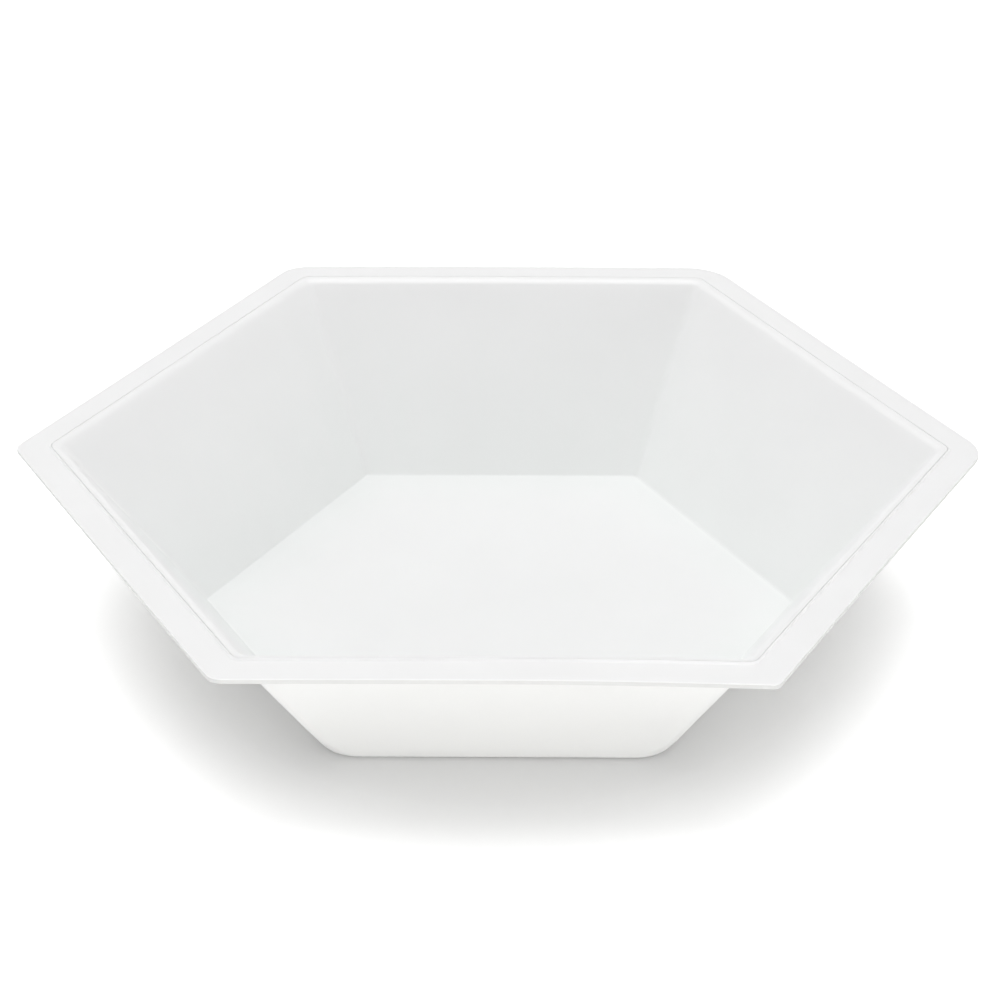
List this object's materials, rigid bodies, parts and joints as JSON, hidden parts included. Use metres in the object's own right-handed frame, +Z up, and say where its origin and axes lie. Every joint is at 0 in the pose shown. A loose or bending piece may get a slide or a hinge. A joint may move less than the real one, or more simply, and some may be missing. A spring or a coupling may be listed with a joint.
{
  "type": "weighing boat",
  "caption": "Hexagonal weighing boat: a shallow one-piece plastic dish with a flat floor, sloping walls, a low lip and a flat rim, for weighing and pouring samples.",
  "frame": {"origin": "centre of the flat underside, where the boat stands", "axes": "+Z up out of the dish, +X towards one corner of the rim, +Y towards the middle of one side"},
  "size_m": [0.0912, 0.0796, 0.0184],
  "materials": {
    "white_polystyrene": "smooth white formed sheet with a soft gloss"
  },
  "bodies": {
    "root": {"weighing_boat": "white_polystyrene"}
  },
  "joints": []
}
